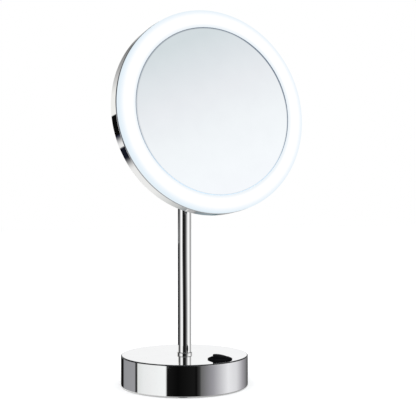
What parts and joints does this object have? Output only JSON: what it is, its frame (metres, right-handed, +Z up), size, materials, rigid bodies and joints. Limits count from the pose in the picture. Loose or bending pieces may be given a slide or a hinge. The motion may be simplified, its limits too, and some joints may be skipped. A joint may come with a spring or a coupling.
{
  "type": "lighted vanity mirror",
  "caption": "Round tilting mirror with an opal ring light, a chrome rim and post, and a round battery base with a rocker switch.",
  "frame": {"origin": "on the table plane, in the middle of the object's box: midway between the head's front and the base's back, 7.75 mm in front of the post's axis", "axes": "+Z up along the post, -Y the way the mirror faces at rest, +X to the right of someone looking along +Y"},
  "size_m": [0.2, 0.1468, 0.3761],
  "materials": {
    "chrome": "polished",
    "mirror": "polished",
    "opal": "opal satin",
    "edge_seal": "satin",
    "black_plastic": "fine matte",
    "switch_plastic": "semi gloss",
    "white_plastic": "matte",
    "nylon": "natural",
    "foam": "closed cell foam tape",
    "rubber": "matte",
    "steel": "plain",
    "ballast_steel": "dark paint",
    "brass": "turned",
    "board_white": "solder mask",
    "board_green": "solder mask",
    "lamp": "clear resin",
    "parts": "moulded",
    "wire": "insulation",
    "cell": "sleeve"
  },
  "bodies": {
    "stand": {"base_shell": "chrome", "base_ballast": "ballast_steel", "base_plate": "black_plastic", "base_plate_screws": "steel", "rubber_feet": "rubber", "battery_tray": "black_plastic", "batteries": "cell", "battery_springs": "steel", "battery_contacts": "steel", "driver_board": "board_green", "board_parts": "parts", "board_screws": "steel", "switch_body": "switch_plastic", "switch_terminals": "brass", "base_wires": "wire", "stem_wires": "wire", "stem_tube": "chrome", "foot_collar": "chrome", "foot_plug": "brass", "tie_tube": "brass", "tie_washer": "steel", "tie_nut": "steel", "stem_top_plug": "brass", "stop_pin": "steel", "swivel_washers": "nylon", "swivel_spring": "steel", "swivel_bolt": "steel"},
    "pivot": {"pivot_housing": "chrome", "pivot_cap": "chrome", "pivot_wires": "wire"},
    "head": {"hinge_bracket": "chrome", "tilt_axle": "chrome", "tilt_nut": "chrome", "tilt_spring_washer": "steel", "tilt_friction_washers": "nylon", "bracket_screws": "steel", "rear_cover": "chrome", "stiffener_plate": "steel", "head_chassis": "white_plastic", "chassis_screws": "steel", "led_board": "board_white", "leds": "lamp", "led_board_screws": "steel", "head_wires": "wire", "wire_connector": "nylon", "mirror_pad": "foam", "mirror_glass": "mirror", "mirror_seal": "edge_seal", "diffuser_ring": "opal", "rim_band": "chrome"},
    "rocker": {"switch_rocker": "switch_plastic"},
    "door": {"battery_door": "black_plastic", "door_screw": "steel"}
  },
  "joints": [
    {"name": "head_swivel", "type": "hinge", "parent": "stand", "child": "pivot", "pos_m": [0, 0.00775, 0.2713], "axis": [0, 0, 1], "range_deg": [-128, 172]},
    {"name": "head_tilt", "type": "hinge", "parent": "pivot", "child": "head", "pos_m": [0, -0.01025, 0.2713], "axis": [-1, 0, 0], "range_deg": [-26.8, 38.2]},
    {"name": "switch_rock", "type": "hinge", "parent": "stand", "child": "rocker", "pos_m": [0.01798, -0.03676, 0.031], "axis": [-0.3907, -0.9205, 0], "range_deg": [0, 20]},
    {"name": "battery_door_lift", "type": "slide", "parent": "stand", "child": "door", "axis": [0, 0, -1], "range_m": [0, 0.03]}
  ]
}
